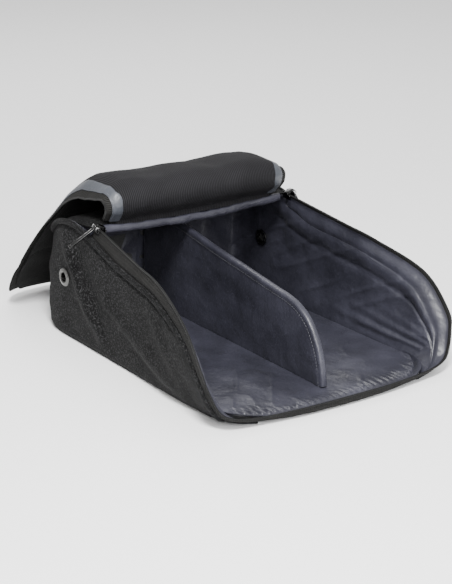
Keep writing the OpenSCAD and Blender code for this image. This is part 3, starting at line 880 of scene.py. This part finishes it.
def divider_grid(side):
    t, b = np.meshgrid(np.linspace(0, len(DIVIDER_EDGE) - 1, 150), np.linspace(0, 1, 46), indexing="ij")
    edge = curve(DIVIDER_EDGE, t)
    foot = np.stack([np.maximum(edge[..., 0], -137 + 0 * t), np.full_like(t, DIVIDER_FOOT - 0.6)], -1)
    yz = lerp(foot, edge, b[..., None])
    g = np.stack([0 * t, yz[..., 0], yz[..., 1]], -1)
    puff = 2.6 + 1.0 * arch(b) ** 0.7
    puff = puff + 0.8 * fbm(g, (30, 50, 30), 401 + side, 3) * arch(b) ** 0.5
    puff = puff + 0.7 * (ridges(g, (30, 16, 60), 405 + side) - 0.3) * smooth(b, 0.5, 0.1)
    g[..., 0] = side * np.maximum(puff, 2.3)
    return facing(g, (side, 0, 0))


def divider():
    for side, label in SIDES:
        obj = sheet("divider_cover_" + label, divider_grid(side), 0.5, LINING)
        padded_piece(obj, 0.5, *(["divider_covers"] if side < 0 else []), slot="lining")
    edge = curve(DIVIDER_EDGE, np.linspace(0.4, len(DIVIDER_EDGE) - 1, 170))
    path = np.stack([0 * edge[:, 0], edge[:, 0], edge[:, 1]], 1)
    inward = np.cross(tangents(path), np.array([1.0, 0, 0]))
    if np.mean(inward[:, 2]) > 0:
        inward = -inward
    path = path + inward * 2.6 + inward * (0.3 * noise(path, 25, 411))[:, None]
    obj = sweep("divider_binding_tape", path, round_profile(3.9, 3.6, 18, 0.72), LINING, up=(1, 0, 0))
    tray_piece(obj, "divider_binding", slot="satin_binding")
    for side, label in SIDES:
        line = even_path(path + inward * 2.0 + [side * 3.75, 0, 0], 3.2)
        stitch_row("divider_stitches_" + label, line, (side, 0, 0))


def hinge_strip():
    """Folded satin binding along the hood's front edge, with a sag in the middle."""
    u = np.linspace(-0.95, 0.95, 120)
    path = hood_at(u, 0 * u) + [0, -0.6, -3.9]
    path[:, 2] += 0.6 * noise(path, 13, 421)
    path[:, 1] += 0.8 * noise(path, 17, 422) - 0.4
    swell = 1 + 0.12 * noise(path, 7, 423)
    obj = sweep("hinge_strip", path, round_profile(2.5, 4.1, 16, 0.85), LINING, scale=swell)
    tray_piece(obj, "hinge_binding", slot="satin_binding")
    stitch_row("hinge_stitches", even_path(path + [0, -2.1, 1.2], 3.2), (0, -1.0, 0.2))


def corner_strips():
    for side, label in SIDES:
        z = np.linspace(6, 90, 40)
        path = np.stack([side * (99.0 + 0.5 * noise(np.stack([z, z, z], 1), 18, 431)), 153.0 + 0 * z, z], 1)
        obj = sweep("corner_strip_" + label, path, round_profile(3.6, 1.3, 14, 0.8), SATIN,
                    up=(side * 1.0, 1.0, 0))
        tray_piece(obj, *(["corner_bindings"] if side < 0 else []), slot="satin_binding")


def foam_sheet(name, g, thick, away, node):
    """Foam layer between cover and lining; away is a direction out of the bag."""
    padded_piece(sheet(name, facing(g, away), thick, FOAM), 0.95, node, slot="foam")


def foam_layers():
    for side, label in SIDES:
        t, v = spread((2.8, WALL_ENDS - 0.4, 110), (0.06, 0.86, 30))
        g = wall_at(t, v)
        g = (g - outward(g) * FOAM_T) * np.array([side, 1, 1])
        foam_sheet("wall_foam_" + label, g, FOAM_T, (side, 0, 0), label + "_wall_foam")
    u, v = spread((-0.9, 0.9, 60), (0.08, 0.92, 30))
    foam_sheet("hood_foam_sheet", hood_at(u, v) - [0, 0, 2.4], 1.6, (0, 0, 1), "hood_foam")
    x, v = spread((-70, 70, 60), (0.06, 0.92, 30))
    g = np.stack([x, toe_end_y(v) - FOAM_T, TOE_END_Z * v], -1)
    foam_sheet("toe_end_foam_sheet", g, FOAM_T, (0, 1, 0), "toe_end_foam")


def dress(node, mat):
    """Puts a material on a CAD object that shows as it is."""
    obj = frame["nodes"][node]
    if not obj.material_slots:
        obj.data.materials.append(mat)
    for s in obj.material_slots:
        s.link = "OBJECT"
        s.material = mat


# ---- sliders, pulls and handle

ZIP_START = np.array(ZIP[-1], float)
TRAVEL = np.array(joint("right_slider_travel")["axis"], float)
BAND_DOWN = unit(np.array([120, 66, 109.0]) - ZIP_START)
OUT = unit(np.cross(TRAVEL, BAND_DOWN))
DOWN = np.cross(OUT, TRAVEL)
SLIDER_AT = ZIP_START + TRAVEL * 7
CHANNEL = 2.6
PIN = np.array(joint("right_pull_hinge")["pos_m"]) / MM
PULL_LEAN = {"left": math.radians(33), "right": math.radians(10)}


def rounded_box(size, bevel):
    bm = bmesh.new()
    bmesh.ops.create_cube(bm, size=1.0)
    bmesh.ops.scale(bm, vec=size, verts=bm.verts)
    bmesh.ops.bevel(bm, geom=list(bm.edges), offset=bevel, segments=3, affect="EDGES", profile=0.5)
    verts = np.array([v.co[:] for v in bm.verts])
    faces = [[v.index for v in f.verts] for f in bm.faces]
    bm.free()
    return verts, faces


def joined(parts):
    verts, faces, count = [], [], 0
    for v, f in parts:
        verts.append(v)
        faces += [[i + count for i in face] for face in f]
        count += len(v)
    return np.concatenate(verts), faces


def moved(part, offset):
    return part[0] + np.array(offset, float), part[1]


def placed(name, part, origin, axes, mirror, mat):
    verts = origin + part[0] @ np.array(axes)
    faces = part[1]
    if mirror:
        verts = verts * MIRROR
        faces = [f[::-1] for f in faces]
    return new_piece(name, verts, faces, mat, sharp=40)


def slider_part():
    """Two plates, narrower at the ends, with a bridge between them at the back."""
    verts, faces = rounded_box((7.6, 12.4, 1.3), 0.6)
    verts[:, 0] *= 1 - 0.22 * np.clip(verts[:, 1] / 6.2, -1, 1) ** 2
    plate = (verts, faces)
    return joined([moved(plate, (0.4, 0, CHANNEL + 0.75)), moved(plate, (0.4, 0, -CHANNEL - 0.75)),
                   moved(rounded_box((1.5, 6.6, 2 * CHANNEL + 2.6), 0.6), (-3.6, 0, 0))])


def ring_points(radius, sides):
    """Circle round the pull's pin."""
    a = np.linspace(0, 2 * math.pi, sides, endpoint=False)
    return np.stack([radius * np.cos(a), 0 * a, radius * np.sin(a)], 1)


def crown_part():
    """Two lugs on the slider with the pin between them."""
    ring = ring_points(0.7, 16)
    k = len(ring)
    verts = np.concatenate([ring + [-1, -4.2, 5.95], ring + [-1, 4.2, 5.95]])
    faces = [[m, (m + 1) % k, (m + 1) % k + k, m + k] for m in range(k)]
    faces += [list(range(k))[::-1], list(range(k, 2 * k))]
    lug = rounded_box((3.2, 1.5, 3.6), 0.5)
    return joined([moved(lug, (-1, 4.2, 5.3)), moved(lug, (-1, -4.2, 5.3)), (verts, faces)])


def pull_part():
    """Long bar with a sunk groove, and an eye round the pin."""
    long = 32.0
    middle = long / 2 + 1
    rail = rounded_box((long - 4, 1.7, 1.8), 0.6)
    ring = ring_points(1.45, 24)
    section = round_profile(2.3, 0.42, 10, 0.7)
    n, k = len(ring), len(section)
    side, out = section[None, :, :1] * np.array([0, 1.0, 0]), unit(ring)[:, None] * section[None, :, 1:]
    faces = [[i * k + j, i * k + (j + 1) % k, ((i + 1) % n) * k + (j + 1) % k, ((i + 1) % n) * k + j]
             for i in range(n) for j in range(k)]
    eye = ((ring[:, None] + side + out).reshape(-1, 3), faces)
    return joined([moved(rail, (middle, 1.65, 0)), moved(rail, (middle, -1.65, 0)),
                   moved(rounded_box((long - 5, 3.2, 1.0), 0.35), (middle, 0, 0)),
                   moved(rounded_box((3.0, 5.0, 1.8), 0.8), (long - 1.5, 0, 0)),
                   moved(rounded_box((2.2, 4.6, 1.8), 0.6), (2.9, 0, 0)), eye])


def zip_hardware():
    slider_axes = [DOWN, TRAVEL, OUT]
    for mirror, label in ((True, "left"), (False, "right")):
        slider, pull = label + "_slider", label + "_pull"
        c, s = math.cos(PULL_LEAN[label]), math.sin(PULL_LEAN[label])
        pull_axes = [DOWN * c + OUT * s, TRAVEL, OUT * c - DOWN * s]
        body = placed("slider_body_" + label, slider_part(), SLIDER_AT, slider_axes, mirror, GUNMETAL)
        fixed(body, slider, slider, slot="metal")
        crown = placed("slider_crown_" + label, crown_part(), SLIDER_AT, slider_axes, mirror, BRIGHT)
        fixed(crown, slider, slot="metal")
        bar = placed("pull_bar_" + label, pull_part(), PIN, pull_axes, mirror, GUNMETAL)
        fixed(bar, pull, pull, slot="metal")


def handle():
    """Webbing loop on the toe end, sewn to two patches."""
    pivot = np.array(joint("handle_hinge")["pos_m"]) / MM
    points = [[-45, 0, 1], [-45.5, 0.2, -6], [-42, 0.6, -17], [-31, 0.8, -24.5], [0, 0.9, -26.5],
              [31, 0.8, -24.5], [42, 0.6, -17], [45.5, 0.2, -6], [45, 0, 1]]
    path = curve(points, np.linspace(0, 1, 90) * (len(points) - 1)) + pivot
    obj = sweep("handle_strap", path, round_profile(9.0, 1.05, 18, 0.45), WEBBING, up=(0, 1, 0))
    fixed(obj, "handle", "carry_handle", slot="webbing")


# ---- lid

PANELS = 7
LAST = PANELS - 1
FOLD_AT = [0.0]
for k in range(5):
    FOLD_AT.append(FOLD_AT[-1] + float(norm(HINGES[k + 1] - HINGES[k])))
LID_END = LID_EDGE[-1][1]
LID_START = -7.5
CUTS = [LID_START] + [(a + b) / 2 for a, b in zip(FOLD_AT, FOLD_AT[1:] + [LID_END])] + [LID_END]

# The lid's shape at rest along its middle: distance along the lid, y and z.
LID_MIDDLE = [[-7.5, 67, 123.5], [0, 65.5, 130.5], [13, 56.5, 139.5], [26, 53.5, 150], [39, 59, 160],
              [52, 71, 165], [76, 95, 165.5], [101, 120, 157.5], [130, 143, 138.5], [163, 166.5, 111.5],
              [195, 185, 86], [225.6, 204, 62], [255, 224, 39.5], [283, 245, 18.5], [300, 259, 8.5],
              [309, 267.5, 5.2]]
# How far the lid's edges turn down below its middle: distance along the lid and drop.
LID_DROP = [[-7.5, 1.5], [0, 2], [13, 4], [26, 7], [52, 15], [76, 19], [101, 18], [130, 14], [163, 11.5],
            [195, 11.5], [225.6, 13], [255, 11], [283, 5], [300, 0], [309, 0]]


def along_lid(table, s):
    """Place and normal at the distance s along the table, each as y and z."""
    fine = curve(table, np.linspace(0, len(table) - 1, 900))
    t = tangents(fine[:, 1:])
    return [np.interp(s, fine[:, 0], column) for column in (fine[:, 1], fine[:, 2], -t[:, 1], t[:, 0])]


def lid_at(x, s, d):
    """Point of the lid: x across, s along, d towards the mesh side."""
    turn = np.clip((np.abs(x) / np.maximum(lid_half(s), 1) - 0.72) / 0.28, 0, 1) ** 1.8
    y, z, ny, nz = along_lid(LID_MIDDLE, s)
    flat = np.stack([x, s, 0 * s], -1)
    wave = 1.1 * fbm(flat, (80, 70, 50), 501, 3) + 0.8 * (ridges(flat, (110, 34, 50), 505) - 0.3)
    wave = wave * smooth(s, LID_START, 40)
    roll = 1.5 * np.cos(x / 66 * 2 * np.pi + 0.6) * bump_at(s, 62, 26)
    flutter = 4.0 * noise(flat, (70, 46, 50), 508) * smooth(s, 215, 300)
    low = smooth(s, 285, 305)
    drop = np.interp(s, *np.array(LID_DROP).T)
    d = d + (wave + roll) * (1 - low) + flutter * (1 - 0.7 * low) - drop * turn
    return np.stack([x - np.sign(x) * 0.2 * drop * turn, y + ny * d, z + nz * d], -1)


LID_CURVE = curve(LID_EDGE, np.linspace(0, len(LID_EDGE) - 1, 400))


def lid_half(s):
    return np.interp(s, LID_CURVE[:, 1], LID_CURVE[:, 0])


def lid_inset(s, d):
    """Half width of the outline moved in by d."""
    t = tangents(LID_CURVE)
    x = LID_CURVE[:, 0] - t[:, 1] * d
    y = LID_CURVE[:, 1] + t[:, 0] * d
    order = np.argsort(y)
    return np.maximum(0.0, np.interp(s, y[order], x[order], left=None, right=0.0))


def mesh_out(g, s):
    """The lid grid g at the distances s, turned so that its normals point out of the mesh side."""
    ny, nz = along_lid(LID_MIDDLE, s)[2:]
    side = np.stack([0 * ny, ny, nz], -1)
    return g if np.mean(np.sum(grid_normals(g) * side, -1)) >= 0 else g[:, ::-1]


def blended(obj, k, node):
    """Piece k of a lid layer, at fold line k, which stays where it is built; the last one rides on the last
    panel.
    """
    if node and k < LAST:
        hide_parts("%s_%d" % (node, k + 1))
    if k == LAST:
        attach(obj, "lid_6")
    else:
        start, end = (tuple(float(v) * MM for v in (0, *along_lid(LID_MIDDLE, cut)[:2]))
                      for cut in CUTS[k:k + 2])
        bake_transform(obj)


def lid_rows(k, end):
    """Distances of the rows of panel k, which lie closer together towards the lid's end."""
    low, high = CUTS[k:k + 2]
    if k == LAST:
        return low + (end - low) * (1 - (1 - np.linspace(0, 1, 60)) ** 1.8)
    return np.linspace(low, high, max(6, int((high - low) / 1.6)))


def lid_panel(node, prefix, inset, d, thick, mat, pucker=0.0):
    """One cloth layer of the lid, with its edge inset from the lid's and d towards the mesh side."""
    for k in range(PANELS):
        s = lid_rows(k, LID_END - inset)
        x = np.maximum(lid_inset(s, inset), 0.5)[:, None] * np.linspace(-1, 1, 120)[None, :]
        s = np.repeat(s[:, None], x.shape[1], 1)
        depth = d + pucker * fbm(np.stack([x, s, 0 * s], -1), (30, 22, 20), 521, 2)
        obj = sheet("%s_%d" % (prefix, k + 1), mesh_out(lid_at(x, s, depth), s), thick, mat, held="folded")
        blended(obj, k, node)


def edge_point(q, inset):
    """Outline of the lid in flat coordinates: q from 0 at the right hinge end to 1 at the left."""
    i = np.clip(q, 0, 1) * 2
    t = np.where(i <= 1, i, 2 - i) * (len(LID_EDGE) - 1)
    p = curve(LID_EDGE, t)
    ahead, behind = np.minimum(t + 0.02, len(LID_EDGE) - 1), np.maximum(t - 0.02, 0)
    along = unit(curve(LID_EDGE, ahead) - curve(LID_EDGE, behind))
    x = p[..., 0] - along[..., 1] * inset
    y = p[..., 1] + along[..., 0] * inset
    return np.where(i <= 1, 1, -1) * np.maximum(x, 0), y


def resampled(at, known, columns):
    """Each column of values known at some places, interpolated at new ones."""
    return np.stack([np.interp(at, known if known.ndim == 1 else known[:, c], columns[:, c])
                     for c in range(columns.shape[1])], 1)


def side_rows(x, s, low, high):
    """Rows of a strip along one side of the lid, straight across it from low to high."""
    order = np.argsort(s.mean(1))
    x, s = x[order], s[order]
    at = np.linspace(low, high, max(5, int((s.mean(1)[-1] - s.mean(1)[0]) / 1.8)))
    return resampled(at, s, x), np.repeat(at[:, None], s.shape[1], 1)


def end_rows(x, s, low):
    """Rows of a strip round the end of the lid, which start and end on the cut at low."""
    at, index = np.linspace(0, len(x) - 1, 150), np.arange(len(x))
    s = np.maximum(resampled(at, index, s), low)
    s[[0, -1]] = low
    return resampled(at, index, x), s


def lid_strip(node, prefix, outer, inner, d, mat, across, crown):
    """Strip round the edge of the lid between two insets, cut at the same lines as the panels."""
    q = np.linspace(0, 1, 1200)
    x_mid, s_mid = edge_point(q, (outer + inner) / 2)
    depth = d + crown * np.sin(np.linspace(0, np.pi, across))[None, :]
    for k in range(PANELS):
        low, high = CUTS[k:k + 2]
        near = (s_mid >= low - 0.01) | (k == 0)
        near &= (s_mid <= high + 0.01) | (k == LAST)
        for side, label in ((x_mid > 0, "a"), (x_mid <= 0, "b")) if k < LAST else ((True, ""),):
            x, s = (np.stack(v, 1) for v in zip(*(edge_point(q[near & side], i)
                                                  for i in np.linspace(outer, inner, across))))
            x, s = side_rows(x, s, max(low, 0), high) if k < LAST else end_rows(x, s, low)
            g = mesh_out(lid_at(x, s, depth + 0 * x), (low + high) / 2)
            obj = sheet("%s_%d%s" % (prefix, k + 1, label), g, 1.0, mat, held="folded")
            blended(obj, k, node if label != "b" else None)


def lid_beads(prefix, inset, d, pitch, shape, mat, across):
    """Teeth that lie across the lid's edge, or stitches along it, cut at the same lines as the panels."""
    q = np.linspace(0, 1, 4000)
    x, s = edge_point(q, inset)
    length = np.concatenate([[0], np.cumsum(np.hypot(np.diff(x), np.diff(s)))])
    q = np.interp(np.arange(pitch, length[-1] - pitch, pitch), length, q)
    s = edge_point(q, inset)[1]
    here, next_one, inside = (lid_at(*edge_point(at, edge), np.full_like(q, d)) for at, edge in (
        (q, inset), (np.minimum(q + 0.0015, 1), inset), (q, inset + 1.0)))
    ahead, inward = unit(next_one - here), unit(inside - here)
    up = np.cross(ahead, inward)
    turned = inward if across else ahead
    for k in range(PANELS):
        keep = (s > CUTS[k]) & ((s <= CUTS[k + 1]) | (k == LAST))
        obj = repeated("%s_%d" % (prefix, k + 1), shape, here[keep], turned[keep], up[keep], mat)
        blended(obj, k, None)


def make_lid():
    lid_panel("lid_fabric", "lid_cover", TAPE_W - 0.5, -0.2, 1.2, LID_OUTER)
    lid_panel("lid_mesh", "lid_lining", TAPE_W + 5.0, 3.3, 1.0, MESH, pucker=0.5)
    lid_strip("lid_border", "lid_border_tape", BORDER_AT, BORDER_AT + BORDER_SHOWN, 3.0, SATIN,
              9, 0.7)
    lid_strip("lid_zip", "lid_tape", 0.6, TAPE_W + 2.0, 1.6, TAPE, 7, 0.3)
    lid_beads("lid_teeth", 0.6, 1.4, TOOTH_PITCH, TOOTH, TEETH, across=True)
    lid_beads("lid_stitches", BORDER_AT + 1.5, 3.5, 3.3, STITCH, GREY_THREAD, across=False)


# ---- build

make_camera()
make_stage()
make_lights()
for wall in SIDES:
    outer_wall(*wall)
hood_cover()
toe_end_cover()
edge_piping()
tray_zip()
seam_stitches()
for wall in SIDES:
    lining_wall(*wall)
lining_end()
lining_hood()
lining_floor()
divider()
hinge_strip()
corner_strips()
zip_hardware()
handle()
make_lid()
foam_layers()
for shown, coat in (("base_panel", OUTER), ("base_board", BOARD), ("divider_board", BOARD),
                    ("grommet_faces", RING), ("grommet_washers", RING), ("zip_start_stops", GUNMETAL),
                    ("handle_patches", OUTER)):
    dress(shown, coat)
